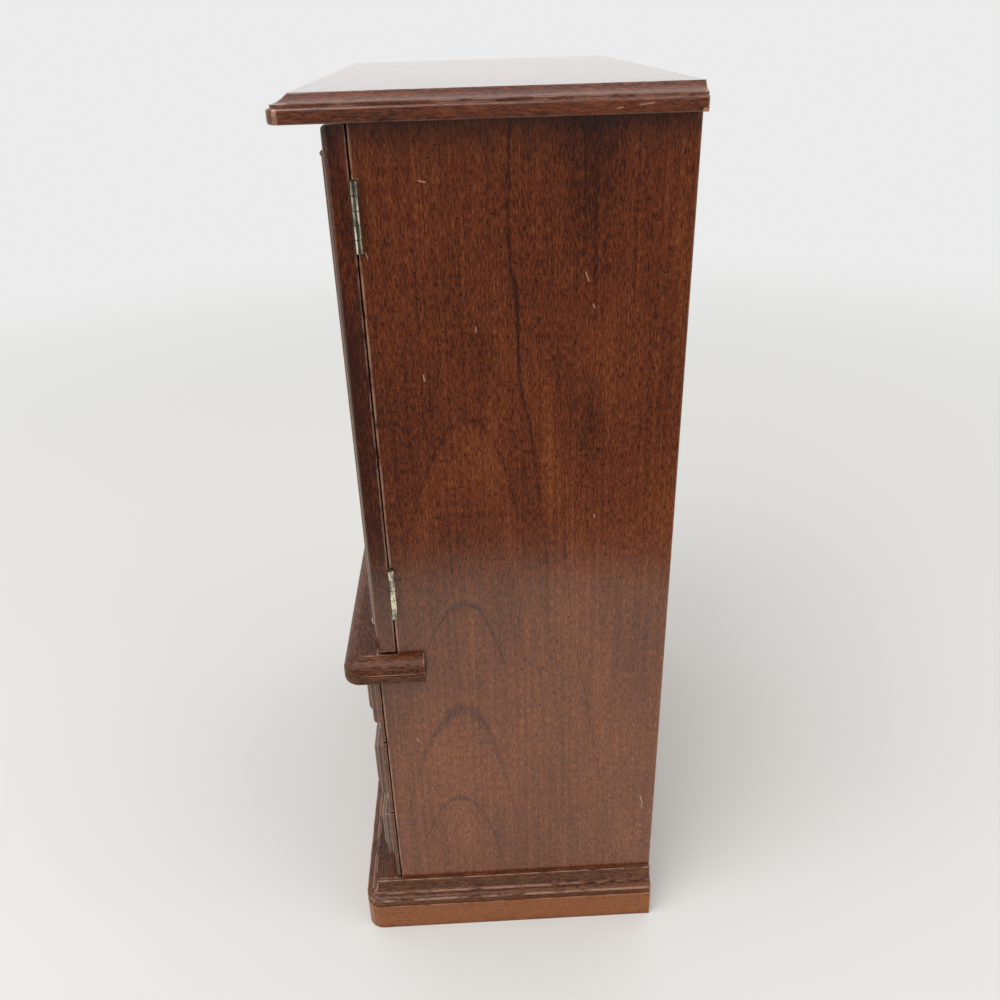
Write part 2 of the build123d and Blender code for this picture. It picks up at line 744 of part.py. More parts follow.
def bead_strip(length, height):
    """A half-round strip along X, mitred at both ends, with its outer edge on z = 0 and its back on y = 0."""
    with BuildPart() as strip:
        with BuildSketch(Plane.YZ):
            with BuildLine():
                EllipticalCenterArc((0, -bead_width / 2), height, bead_width / 2, 90, arc_size=180)
                Line((0, -bead_width), (0, 0))
            make_face()
        extrude(amount=length / 2, both=True)
        with BuildSketch(Plane.XZ):
            with BuildLine():
                Polyline(
                    (-length / 2 + bead_mitre_gap, 0),
                    (length / 2 - bead_mitre_gap, 0),
                    (length / 2 - bead_mitre_gap - bead_width, -bead_width),
                    (-length / 2 + bead_mitre_gap + bead_width, -bead_width),
                    close=True,
                )
            make_face()
        extrude(amount=height, mode=Mode.INTERSECT)
    return strip


with BuildPart() as door_bead:
    for turn, length, height, rise in (
        (0, bead_frame_width, bead_rail_height, bead_frame_height / 2),
        (90, bead_frame_height, bead_upright_height, bead_frame_width / 2),
        (180, bead_frame_width, bead_rail_height, bead_frame_height / 2),
        (270, bead_frame_height, bead_upright_height, bead_frame_width / 2),
    ):
        with Locations(Location(bead_centre) * Location((0, 0, 0), (0, turn, 0)) * Location((0, 0, rise))):
            add(bead_strip(length, height).part)
save_pair(door_bead, "door_bead")

with BuildPart() as door_strike:
    with Locations(Location((strike_x, door_back_y, catch_middle_z), FACING_BACK)):
        Cylinder(strike_radius, strike_thickness, align=(Align.CENTER, Align.CENTER, Align.MIN))
        Cylinder(strike_pin_radius, strike_pin_length, align=(Align.CENTER, Align.CENTER, Align.MAX))
save_pair(door_strike, "door_strike")

knob = turned_knob()
with BuildPart() as door_knob:
    with Locations(Location((door_knob_x, door_face_y, door_middle_z), FACING_FRONT)):
        add(knob.part)
        add(knob_bolt(door_thickness).part)
save_pair(door_knob, "door_knob")

# ---------------------------------------------------------------- drawers
front_back_y = lower_front_y - drawer_front_seam
box_back_y = board_back_y - drawer_back_clearance
box_half_width = inner_half_width - drawer_side_clearance
box_depth = box_back_y - front_back_y
drawer_openings = {
    "drawer_bottom": (bottom_front_z, drawer_front_heights[0], bottom_board_z + bottom_board_thickness,
                      lower_divider_z),
    "drawer_middle": (middle_front_z, drawer_front_heights[1], lower_divider_z + divider_thickness,
                      upper_divider_z),
    "drawer_top": (top_front_z, drawer_front_heights[2], upper_divider_z + divider_thickness,
                   waist_board_z),
}


def make_drawer(name, front_z, front_height, floor_z, ceiling_z):
    """A drawer: moulded front, two sides, back, bottom held in grooves, felt lining and knob."""
    box_z = floor_z + drawer_running_clearance
    box_height = ceiling_z - drawer_top_clearance - box_z
    bottom_z = box_z + drawer_bottom_lift
    front_middle_z = front_z + front_height / 2
    inside_half = box_half_width - drawer_side_thickness
    inside_back_y = box_back_y - drawer_side_thickness

    with BuildPart() as bottom:
        with Locations((0, front_back_y - drawer_groove_depth, bottom_z)):
            Box(
                2 * (inside_half + drawer_groove_depth),
                inside_back_y - front_back_y + 2 * drawer_groove_depth,
                drawer_bottom_thickness,
                align=FROM_MIDDLE_FRONT,
            )
    save(bottom, f"{name}_bottom")

    with BuildPart() as front:
        with BuildSketch(
            Plane(origin=(0, front_back_y, front_middle_z), x_dir=(1, 0, 0), z_dir=(0, 0, -1))
        ):
            with BuildLine():
                raised_section(half_width)
                mirror(about=Plane.YZ)
            make_face()
        extrude(amount=front_height / 2, both=True)
        with BuildSketch(
            Plane(origin=(0, front_back_y, front_middle_z), x_dir=(0, 0, 1), z_dir=(1, 0, 0))
        ):
            with BuildLine():
                raised_section(front_height / 2)
                mirror(about=Plane.YZ)
            make_face()
        extrude(amount=half_width, both=True, mode=Mode.INTERSECT)
        with BuildSketch(Plane(origin=(0, front_back_y, front_middle_z), x_dir=(1, 0, 0), z_dir=(0, -1, 0))):
            RectangleRounded(cabinet_width, front_height, front_corner_radius)
        extrude(amount=drawer_front_thickness, mode=Mode.INTERSECT)
        add(bottom.part, mode=Mode.SUBTRACT)
        with Locations(Location((0, front_back_y, front_middle_z), FACING_FRONT)):
            Hole(knob_bolt_radius + pilot_clearance)
    save(front, f"{name}_front")

    with BuildPart() as side:
        with Locations((inside_half, front_back_y, box_z)):
            Box(drawer_side_thickness, box_depth, box_height, align=FROM_LOW_CORNER)
        add(bottom.part, mode=Mode.SUBTRACT)
    save_pair(side, f"{name}_side")

    with BuildPart() as back:
        with Locations((0, inside_back_y, box_z)):
            Box(2 * inside_half, drawer_side_thickness, box_height, align=FROM_MIDDLE_FRONT)
        add(bottom.part, mode=Mode.SUBTRACT)
    save(back, f"{name}_back")

    with BuildPart() as felt:
        with Locations((0, front_back_y + felt_margin, bottom_z + drawer_bottom_thickness)):
            Box(
                2 * (inside_half - felt_margin),
                inside_back_y - front_back_y - 2 * felt_margin,
                felt_thickness,
                align=FROM_MIDDLE_FRONT,
            )
    save(felt, f"{name}_felt")

    with BuildPart() as drawer_knob:
        knob_y = front_back_y - drawer_front_thickness
        with Locations(Location((0, knob_y, front_middle_z), FACING_FRONT)):
            add(knob.part)
            add(knob_bolt(drawer_front_thickness).part)
    save(drawer_knob, f"{name}_knob")


for drawer_name, drawer_sizes in drawer_openings.items():
    make_drawer(drawer_name, *drawer_sizes)
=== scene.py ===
"""Looks of the tabletop cabinet: stained and lacquered wood, antique brass, felt, and a plain pale studio.

Metres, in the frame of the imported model: +X to the right of someone who faces the doors, -Y to the front, +Z up.
"""

import json
import math

import bpy
from mathutils import Matrix, Vector

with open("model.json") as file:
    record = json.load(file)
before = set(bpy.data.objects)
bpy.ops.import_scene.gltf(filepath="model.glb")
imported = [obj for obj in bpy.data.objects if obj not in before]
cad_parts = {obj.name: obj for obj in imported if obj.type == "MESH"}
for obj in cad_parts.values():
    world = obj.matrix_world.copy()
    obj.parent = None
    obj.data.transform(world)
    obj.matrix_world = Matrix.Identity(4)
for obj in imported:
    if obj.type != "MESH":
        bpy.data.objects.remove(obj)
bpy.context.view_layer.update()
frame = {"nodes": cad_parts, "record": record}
nodes = frame["nodes"]

# ---------------------------------------------------------------- camera
CAMERA_PLACE = Vector((0.4507, -0.0083, 0.4255))
CAMERA_YAW = 1.7057  # degrees, as are the next two
CAMERA_PITCH = -27.8555
CAMERA_ROLL = -1.6958
CAMERA_LENS = 32.69  # mm, as is the next
SENSOR_WIDTH = 36


def make_camera():
    yaw = math.radians(CAMERA_YAW)
    pitch = math.radians(CAMERA_PITCH)
    roll = math.radians(CAMERA_ROLL)
    ahead = Vector((-math.cos(pitch) * math.cos(yaw), math.cos(pitch) * math.sin(yaw), math.sin(pitch)))
    level_right = Vector((math.sin(yaw), math.cos(yaw), 0))
    level_up = level_right.cross(ahead)
    right = math.cos(roll) * level_right + math.sin(roll) * level_up
    up = -math.sin(roll) * level_right + math.cos(roll) * level_up
    data = bpy.data.cameras.new("camera")
    data.sensor_width = SENSOR_WIDTH
    data.lens = CAMERA_LENS
    data.clip_start = 0.01
    camera = bpy.data.objects.new("camera", data)
    axes = Matrix((right, up, -ahead)).transposed().to_4x4()
    camera.matrix_world = Matrix.Translation(CAMERA_PLACE) @ axes
    bpy.context.scene.collection.objects.link(camera)
    bpy.context.scene.camera = camera


# ---------------------------------------------------------------- node graphs
class Graph:
    """Builds one node material. Each method adds a node and returns its output socket."""

    def __init__(self, name):
        self.material = bpy.data.materials.new(name)
        self.material.use_nodes = True
        self.tree = self.material.node_tree
        self.shader = self.tree.nodes["Principled BSDF"]
        self.coordinates = self.add("ShaderNodeTexCoord").outputs["Object"]

    def add(self, kind, **settings):
        node = self.tree.nodes.new(kind)
        for key, value in settings.items():
            setattr(node, key, value)
        return node

    def feed(self, socket, value):
        if isinstance(value, bpy.types.NodeSocket):
            self.tree.links.new(value, socket)
        else:
            socket.default_value = value

    def math(self, operation, first, second=0.0, third=0.0, clamp=False):
        node = self.add("ShaderNodeMath", operation=operation, use_clamp=clamp)
        for socket, value in zip(node.inputs, (first, second, third)):
            self.feed(socket, value)
        return node.outputs[0]

    def plus(self, first, second):
        return self.math("ADD", first, second)

    def minus(self, first, second):
        return self.math("SUBTRACT", first, second)

    def times(self, first, second):
        return self.math("MULTIPLY", first, second)

    def clamp(self, value):
        return self.math("ADD", value, 0.0, clamp=True)

    def most(self, first, second):
        return self.math("MAXIMUM", first, second)

    def step(self, value, low, high):
        """0 at low and 1 at high, smooth between them; low may be the larger."""
        node = self.add("ShaderNodeMapRange", interpolation_type="SMOOTHSTEP")
        turned = low > high
        self.feed(node.inputs["Value"], value)
        node.inputs["From Min"].default_value = high if turned else low
        node.inputs["From Max"].default_value = low if turned else high
        node.inputs["To Min"].default_value = 1.0 if turned else 0.0
        node.inputs["To Max"].default_value = 0.0 if turned else 1.0
        return node.outputs["Result"]

    def band(self, value, centre, half_width):
        """1 where the value is at the centre, falling to 0 at half_width from it."""
        off = self.math("ABSOLUTE", self.minus(value, centre))
        return self.step(off, half_width, 0.0)

    def curve(self, value, low, high, points):
        """A curve through points (value, result), for values between low and high."""
        node = self.add("ShaderNodeFloatCurve")
        line = node.mapping.curves[0]
        results = [result for _, result in points]
        bottom, top = min(results), max(results)
        while len(line.points) < len(points):
            line.points.new(0.5, 0.5)
        for point, (place, result) in zip(line.points, sorted(points)):
            point.location = ((place - low) / (high - low), (result - bottom) / (top - bottom))
        node.mapping.update()
        share = self.math("MULTIPLY_ADD", value, 1 / (high - low), -low / (high - low))
        self.feed(node.inputs["Value"], share)
        return self.math("MULTIPLY_ADD", node.outputs[0], top - bottom, bottom)

    def nick(self, start, end, half_width):
        """1 on the stroke from start to end, 0 beyond half_width from it."""
        run = Vector(end) - Vector(start)
        from_start = self.add("ShaderNodeVectorMath", operation="SUBTRACT")
        self.feed(from_start.inputs[0], self.coordinates)
        from_start.inputs[1].default_value = start
        share = self.add("ShaderNodeVectorMath", operation="DOT_PRODUCT")
        self.feed(share.inputs[0], from_start.outputs[0])
        share.inputs[1].default_value = run / run.length_squared
        near = self.add("ShaderNodeVectorMath", operation="SCALE")
        near.inputs[0].default_value = run
        self.feed(near.inputs["Scale"], self.clamp(share.outputs["Value"]))
        away = self.add("ShaderNodeVectorMath", operation="DISTANCE")
        self.feed(away.inputs[0], from_start.outputs[0])
        self.feed(away.inputs[1], near.outputs[0])
        return self.step(away.outputs["Value"], half_width, half_width * 0.4)

    def mix(self, factor, first, second):
        node = self.add("ShaderNodeMix", data_type="RGBA")
        self.feed(node.inputs["Factor"], factor)
        self.feed(node.inputs[6], first)
        self.feed(node.inputs[7], second)
        return node.outputs[2]

    def split(self, vector):
        node = self.add("ShaderNodeSeparateXYZ")
        self.feed(node.inputs[0], vector)
        return tuple(node.outputs)

    def join(self, x, y, z):
        node = self.add("ShaderNodeCombineXYZ")
        for socket, value in zip(node.inputs, (x, y, z)):
            self.feed(socket, value)
        return node.outputs[0]

    def stretch(self, vector, scale, shift=(0, 0, 0)):
        """The vector times a scale for each axis, plus a shift."""
        node = self.add("ShaderNodeVectorMath", operation="MULTIPLY_ADD")
        self.feed(node.inputs[0], vector)
        node.inputs[1].default_value = scale
        node.inputs[2].default_value = shift
        return node.outputs[0]

    def noise(self, vector, scale=1.0, detail=2.0, roughness=0.5):
        node = self.add("ShaderNodeTexNoise")
        self.feed(node.inputs["Vector"], vector)
        node.inputs["Scale"].default_value = scale
        node.inputs["Detail"].default_value = detail
        node.inputs["Roughness"].default_value = roughness
        return node.outputs["Fac"]

    def noise_line(self, value, detail=2.0, roughness=0.5):
        node = self.add("ShaderNodeTexNoise", noise_dimensions="1D")
        self.feed(node.inputs["W"], value)
        node.inputs["Scale"].default_value = 1.0
        node.inputs["Detail"].default_value = detail
        node.inputs["Roughness"].default_value = roughness
        return node.outputs["Fac"]

    def cells(self, vector):
        """Distance to the nearest of scattered points, and a random number that belongs to that point."""
        node = self.add("ShaderNodeTexVoronoi")
        self.feed(node.inputs["Vector"], vector)
        node.inputs["Scale"].default_value = 1.0
        return node.outputs["Distance"], self.split(node.outputs["Color"])[0]

    def crevices(self, distance):
        """1 in the open and less in corners and grooves."""
        node = self.add("ShaderNodeAmbientOcclusion", samples=6)
        node.inputs["Distance"].default_value = distance
        return node.outputs["AO"]

    def arrises(self, radius):
        """0 on flat faces, up to 1 where a face turns sharply."""
        bevel = self.add("ShaderNodeBevel", samples=4)
        bevel.inputs["Radius"].default_value = radius
        plain = self.add("ShaderNodeNewGeometry").outputs["Normal"]
        node = self.add("ShaderNodeVectorMath", operation="DOT_PRODUCT")
        self.feed(node.inputs[0], bevel.outputs["Normal"])
        self.feed(node.inputs[1], plain)
        return self.math("SUBTRACT", 1.0, node.outputs["Value"], clamp=True)

    def bump(self, height, distance):
        node = self.add("ShaderNodeBump")
        node.inputs["Strength"].default_value = 1.0
        node.inputs["Distance"].default_value = distance
        self.feed(node.inputs["Height"], height)
        return node.outputs["Normal"]

    def finish(self, colour, roughness, height, bump, metal=0.0, coat=0.0, coat_roughness=0.1, coat_ior=1.5,
               coat_bump=0.0):
        self.feed(self.shader.inputs["Base Color"], colour)
        self.feed(self.shader.inputs["Roughness"], roughness)
        self.shader.inputs["Metallic"].default_value = metal
        self.shader.inputs["Coat Weight"].default_value = coat
        self.shader.inputs["Coat Roughness"].default_value = coat_roughness
        self.shader.inputs["Coat IOR"].default_value = coat_ior
        self.feed(self.shader.inputs["Normal"], self.bump(height, bump))
        if coat_bump:
            self.feed(self.shader.inputs["Coat Normal"], self.bump(height, coat_bump))
        return self.material


# ---------------------------------------------------------------- studio
FLOOR_HALF_SIDE = 6
FLOOR_SEEN = (0.72, 0.715, 0.70, 1)  # the floor as the camera sees it
FLOOR_BRIGHT = (0.73, 0.705, 0.61, 1)  # the floor as it lights the cabinet and mirrors in it
FLOOR_DIM = (0.07, 0.066, 0.062, 1)  # the same beyond the bright sheet, on the camera's side
SHEET_EDGE = (0.43, 0.52)  # distance from the middle at which the bright sheet ends, and the dim floor is full
DIM_X = (0.15, 0.35)  # the dim floor begins and is full at these x
DIM_ASIDE = (0.85, 0.40)  # and it ends and is full at these distances to the sides,
DIM_SPREAD = 0.35  # which grow by this share of x
HAZE = (0.5, 1.5)  # distance from the middle at which the floor begins to fade, and is all backdrop
BACKDROP = (0.83, 0.835, 0.83, 1)  # the colour that the floor fades into, and the world behind it
AROUND_CAMERA = (0.63, 0.62, 0.60, 1)  # what the cabinet is lit by from the camera's side, +X
AROUND_FAR = (0.93, 0.94, 0.935, 1)  # and from the far side
CAMERA_SIDE_X = 0.3  # x of the direction in which the first of these is full
FAR_SIDE_X = -0.5
LIGHT_TARGET = Vector((0, 0, 0.2))
LIGHTS = (  # name, place, width, height, watts
    ("key", (0.75, -0.75, 1.6), 1.5, 1.5, 19),
    ("fill", (0.7, 1.2, 1.2), 1.2, 1.0, 5),
)


def area_light(name, place, width, height, power):
    data = bpy.data.lights.new(name, "AREA")
    data.shape = "RECTANGLE"
    data.size = width
    data.size_y = height
    data.energy = power
    light = bpy.data.objects.new(name, data)
    light.location = place
    light.rotation_mode = "QUATERNION"
    light.rotation_quaternion = (LIGHT_TARGET - Vector(place)).to_track_quat("-Z", "Y")
    bpy.context.scene.collection.objects.link(light)


def make_world():
    """Pale all round: the backdrop to the camera, and a little brighter on the far side to everything else."""
    world = bpy.data.worlds.new("studio")
    bpy.context.scene.world = world
    world.use_nodes = True
    tree = world.node_tree
    background = tree.nodes["Background"]
    path = tree.nodes.new("ShaderNodeLightPath")
    direction = tree.nodes.new("ShaderNodeTexCoord")
    parts = tree.nodes.new("ShaderNodeSeparateXYZ")
    tree.links.new(direction.outputs["Generated"], parts.inputs[0])
    toward = tree.nodes.new("ShaderNodeMapRange")
    toward.inputs["From Min"].default_value = CAMERA_SIDE_X
    toward.inputs["From Max"].default_value = FAR_SIDE_X
    tree.links.new(parts.outputs["X"], toward.inputs["Value"])
    around = tree.nodes.new("ShaderNodeMix")
    around.data_type = "RGBA"
    around.inputs[6].default_value = AROUND_CAMERA
    around.inputs[7].default_value = AROUND_FAR
    tree.links.new(toward.outputs["Result"], around.inputs["Factor"])
    seen = tree.nodes.new("ShaderNodeMix")
    seen.data_type = "RGBA"
    seen.inputs[7].default_value = BACKDROP
    tree.links.new(path.outputs["Is Camera Ray"], seen.inputs["Factor"])
    tree.links.new(around.outputs[2], seen.inputs[6])
    tree.links.new(seen.outputs[2], background.inputs["Color"])
    background.inputs["Strength"].default_value = 1.0


def make_floor():
    mesh = bpy.data.meshes.new("floor")
    side = FLOOR_HALF_SIDE
    mesh.from_pydata([(-side, -side, 0), (side, -side, 0), (side, side, 0), (-side, side, 0)], [], [(0, 1, 2, 3)])
    floor = bpy.data.objects.new("floor", mesh)
    bpy.context.scene.collection.objects.link(floor)
    g = Graph("floor_paper")
    x, y, _ = g.split(g.coordinates)
    radius = g.math("SQRT", g.plus(g.times(x, x), g.times(y, y)))
    path = g.add("ShaderNodeLightPath")
    aside = g.plus(g.math("ABSOLUTE", y), g.times(x, -DIM_SPREAD))
    dim = g.times(g.step(radius, *SHEET_EDGE), g.times(g.step(x, *DIM_X), g.step(aside, *DIM_ASIDE)))
    unseen = g.mix(dim, FLOOR_BRIGHT, FLOOR_DIM)
    g.feed(g.shader.inputs["Base Color"], g.mix(path.outputs["Is Camera Ray"], unseen, FLOOR_SEEN))
    g.shader.inputs["Roughness"].default_value = 1.0
    g.shader.inputs["Specular IOR Level"].default_value = 0.0
    haze = g.add("ShaderNodeEmission")
    haze.inputs["Color"].default_value = BACKDROP
    far = g.add("ShaderNodeMixShader")
    g.feed(far.inputs["Fac"], g.times(g.step(radius, *HAZE), path.outputs["Is Camera Ray"]))
    g.feed(far.inputs[1], g.shader.outputs[0])
    g.feed(far.inputs[2], haze.outputs[0])
    g.feed(g.tree.nodes["Material Output"].inputs["Surface"], far.outputs[0])
    floor.data.materials.append(g.material)


def make_studio():
    bpy.context.scene.view_settings.view_transform = "Standard"
    make_world()
    make_floor()
    for light in LIGHTS:
        area_light(*light)


# ---------------------------------------------------------------- stained wood
DEEP_BROWN = (0.040, 0.0085, 0.0040, 1)
RED_BROWN = (0.150, 0.0320, 0.0090, 1)
WALNUT_BROWN = (0.150, 0.0510, 0.0210, 1)
ORANGE_BROWN = (0.290, 0.0880, 0.0250, 1)
# bare wood on rubbed edges, chips and scratches, and also a painted highlight on the arrises, the panel's front edge
# and the top board's front corner
BARE_WOOD_AND_HIGHLIGHT = (0.62, 0.36, 0.25, 1)
# dark specks of dirt, and also the colour of the painted shade in corners and grooves
GRIME_AND_SHADE = (0.010, 0.0045, 0.0030, 1)
PANEL_FACE = 0.1198  # x of the side panel's outer face
# how finely each layer of the wood repeats, per metre: across the grain, through the board, along the grain
BEND_SCALE = (14, 14, 5)
CLOUD_SCALE = (24, 24, 9)
RIBBON_SCALE = (560, 560, 9)
FIBRE_SCALE = (1500, 1500, 330)
MOTTLE_SCALE = (300, 300, 170)
SPECK_SCALE = (250, 250, 250)
STROKE_SCALE = (2300, 2300, 420)
RUB_AND_HIGHLIGHT_SCALE = (240, 240, 90)
BROAD_RING_SCALE = 26.0
THIN_RING_SCALE = 75.0
# how much each layer adds to the lightness, or takes from it
FIBRE_AMOUNT = 2.1
STROKE_AMOUNT = 0.36
MOTTLE_AMOUNT = 0.45
DOOR_EDGE_X = (0.1160, 0.1190)  # distance from the middle at which the darker hinge edge of a door begins, and is full
DOOR_EDGE_Z = (0.358, 0.318)
DOOR_EDGE_SHADE = (0.12, (0.185, 0.235), 0.20)  # at the bottom, z between which it grows, how much it grows
PLINTH_Z = (0.0172, 0.0158)  # the paler foot of the base moulding is below these
PLINTH_AMOUNT = 0.58
WAIST_CORNER_Y = (-0.066, -0.056)  # the waist moulding's arrises are rubbed pale, with a painted highlight, behind these only
# how far the painted shade reaches out of a corner
CORNER_SHADE_REACH = 0.006
RING_DEPTH = 6.0  # how much faster the rings pass through the board than along it
RING_BEND = 0.03
HEART_BEND = 0.010
STAIN_ROUGHNESS = 0.55
STAIN_SPECULAR = 0.10
STAIN_BUMP = 0.00006
LACQUER_BUMP = 0.00004
LACQUER_IOR = 1.6


def grain_position(g, axes, shift):
    """Position with x across the grain, y through the board and z along it; axes names the three in that order."""
    sockets = dict(zip("xyz", g.split(g.coordinates)))
    return g.stretch(g.join(*(sockets[axis] for axis in axes)), (1, 1, 1), shift)


# The right panel's figure. In these tables y is the distance behind the middle of the cabinet, and z the height above
# the floor, in metres. A pair of numbers is where something begins and where it is full.
ARCHES = (  # z of the arch's top on the heart line, half width of its line, strength
    (0.0845, 0.0028, 0.34),
    (0.1410, 0.0060, 0.40),
    (0.2000, 0.0022, 0.42),
    (0.2860, 0.0026, 0.18),
)
ARCH_REACH = (0.034, 0.012)  # distance from the heart line
ARCH_RAGGEDNESS = 0.006
PALE_ARCH = ((0.287, 0.279), (0.240, 0.270), 0.20)  # inside the highest arch: upper end, lower end, amount
STREAK_SPAN = (0.0, 0.42)  # z between which the two streaks are drawn
LONG_STREAK = (  # z, y
    (0.020, 0.0400), (0.035, 0.0379), (0.110, 0.0290), (0.173, 0.0225), (0.221, 0.0205), (0.259, 0.0169),
    (0.286, 0.0139), (0.303, 0.0106), (0.336, 0.0098), (0.348, 0.0078), (0.375, 0.0076), (0.396, 0.0089),
)
SECOND_STREAK = ((0.030, 0.0560), (0.120, 0.0430), (0.220, 0.0290), (0.298, 0.0260), (0.322, 0.0215), (0.396, 0.0170))
LONG_STREAK_HALF_WIDTH = 0.0013
LONG_STREAK_STRENGTH = (0.14, (0.20, 0.33), 0.40)  # low down, z between which it grows, how much it grows
SECOND_STREAK_HALF_WIDTH = 0.0008
SECOND_STREAK_STRENGTH = ((0.33, 0.30), 0.24)  # upper end, strength
SMUDGE = (0.034, 0.020, (0.325, 0.375))  # y, half width, z
LOWER_SMUDGE = (0.037, 0.012, 0.283, 0.032)  # y, half width, z, half height
SMUDGE_AMOUNT = 0.22
UPPER_SHADE = ((0.20, 0.30), 0.05, (0.000, -0.015), 0.07)  # z, amount, y towards the front, amount there
WARM_STRIPE = (0.023, 0.008, 0.262, 0.040)  # y, half width, z, half height
WARM_REAR = ((0.052, 0.070), 0.245, 0.080)  # y, z, half height
WARM_LOW = ((-0.02, 0.06), (0.24, 0.15), 0.8)  # y, z, share
WARM_AMOUNT = 0.20
FRONT_ARRISES = (  # y, half width, z: the panel's stepped front edge, worn pale and with a painted highlight
    (-0.0461, 0.0008, (0.174, 0.178)),
    (-0.0553, 0.0007, (0.164, 0.160)),
)
TOP_CHIPS_AND_HIGHLIGHT = (  # start, end, half width and strength of a pale mark on the top board: the first two are a painted highlight on the rounded front corner, over some wear, and the rest are worn chips
    ((0.1268, -0.0690, 0.3970), (0.1268, -0.0690, 0.4006), 0.0014, 0.60),
    ((0.1268, -0.0691, 0.4002), (0.1268, -0.0689, 0.4009), 0.0011, 0.90),
    ((0.1268, 0.0747, 0.3968), (0.1268, 0.0735, 0.3972), 0.0012, 0.95),
    ((0.1268, 0.0747, 0.3990), (0.1268, 0.0747, 0.4010), 0.0007, 0.60),
    ((0.1270, 0.0515, 0.3995), (0.1270, 0.0560, 0.4001), 0.0004, 0.80),
    ((0.1270, 0.0440, 0.3987), (0.1270, 0.0458, 0.3990), 0.0003, 0.70),
)
NICK_HALF_WIDTH = 0.0003
PANEL_NICKS = (  # start and end, as (y, z), of a scratch on the right panel
    ((-0.0236, 0.3770), (-0.0212, 0.3764)),
    ((-0.0440, 0.3530), (-0.0434, 0.3508)),
    ((0.0354, 0.3432), (0.0366, 0.3400)),
    ((0.0384, 0.3312), (0.0390, 0.3296)),
    ((-0.0056, 0.3240), (-0.0055, 0.3222)),
    ((-0.0264, 0.3060), (-0.0261, 0.3036)),
    ((-0.0414, 0.1242), (-0.0408, 0.1226)),
    ((0.0407, 0.2420), (0.0408, 0.2402)),
    ((0.0676, 0.0790), (0.0688, 0.0745)),
    ((0.0688, 0.0745), (0.0684, 0.0715)),
    ((0.0684, 0.0592), (0.0684, 0.0580)),
)


def panel_marks(g, light, off_heart, ring):
    """The right panel's own figure: four arches, two long dark lines and clouds."""
    _, y, z = g.split(g.coordinates)
    near_heart = g.step(g.math("ABSOLUTE", off_heart), *ARCH_REACH)
    broken = g.noise(g.coordinates, 160, detail=2)
    ragged = g.plus(ring, g.times(g.minus(broken, 0.5), ARCH_RAGGEDNESS))
    lines = 0.0
    for place, half_width, strength in ARCHES:
        lines = g.plus(lines, g.times(g.band(ragged, place, half_width), strength))
    light = g.minus(light, g.times(g.times(lines, near_heart), g.plus(0.35, broken)))
    upper_end, lower_end, amount = PALE_ARCH
    inside = g.times(g.step(ragged, *upper_end), g.step(ragged, *lower_end))
    light = g.plus(light, g.times(g.times(inside, near_heart), amount))

    patchy = g.plus(0.15, g.times(g.noise(g.stretch(g.coordinates, (90, 90, 45)), detail=2), 1.3))
    low_down, growth, grown = LONG_STREAK_STRENGTH
    first = g.band(y, g.curve(z, *STREAK_SPAN, LONG_STREAK), LONG_STREAK_HALF_WIDTH)
    first = g.times(first, g.plus(low_down, g.times(g.step(z, *growth), grown)))
    upper_end, strength = SECOND_STREAK_STRENGTH
    second = g.band(y, g.curve(z, *STREAK_SPAN, SECOND_STREAK), SECOND_STREAK_HALF_WIDTH)
    second = g.times(second, g.times(g.step(z, *upper_end), strength))
    light = g.minus(light, g.times(g.plus(first, second), patchy))

    smudge = g.times(g.band(y, *SMUDGE[:2]), g.step(z, *SMUDGE[2]))
    lower_smudge = g.times(g.band(y, *LOWER_SMUDGE[:2]), g.band(z, *LOWER_SMUDGE[2:]))
    light = g.minus(light, g.times(g.plus(smudge, lower_smudge), SMUDGE_AMOUNT))
    high_up, shade, towards_front, front_shade = UPPER_SHADE
    shade = g.plus(shade, g.times(g.step(y, *towards_front), front_shade))
    light = g.minus(light, g.times(g.step(z, *high_up), shade))
    warm = g.times(g.band(y, *WARM_STRIPE[:2]), g.band(z, *WARM_STRIPE[2:]))
    warm = g.plus(warm, g.times(g.step(y, *WARM_REAR[0]), g.band(z, *WARM_REAR[1:])))
    towards_back, downwards, share = WARM_LOW
    warm = g.plus(warm, g.times(g.times(g.step(y, *towards_back), g.step(z, *downwards)), share))
    return g.plus(light, g.times(warm, WARM_AMOUNT))


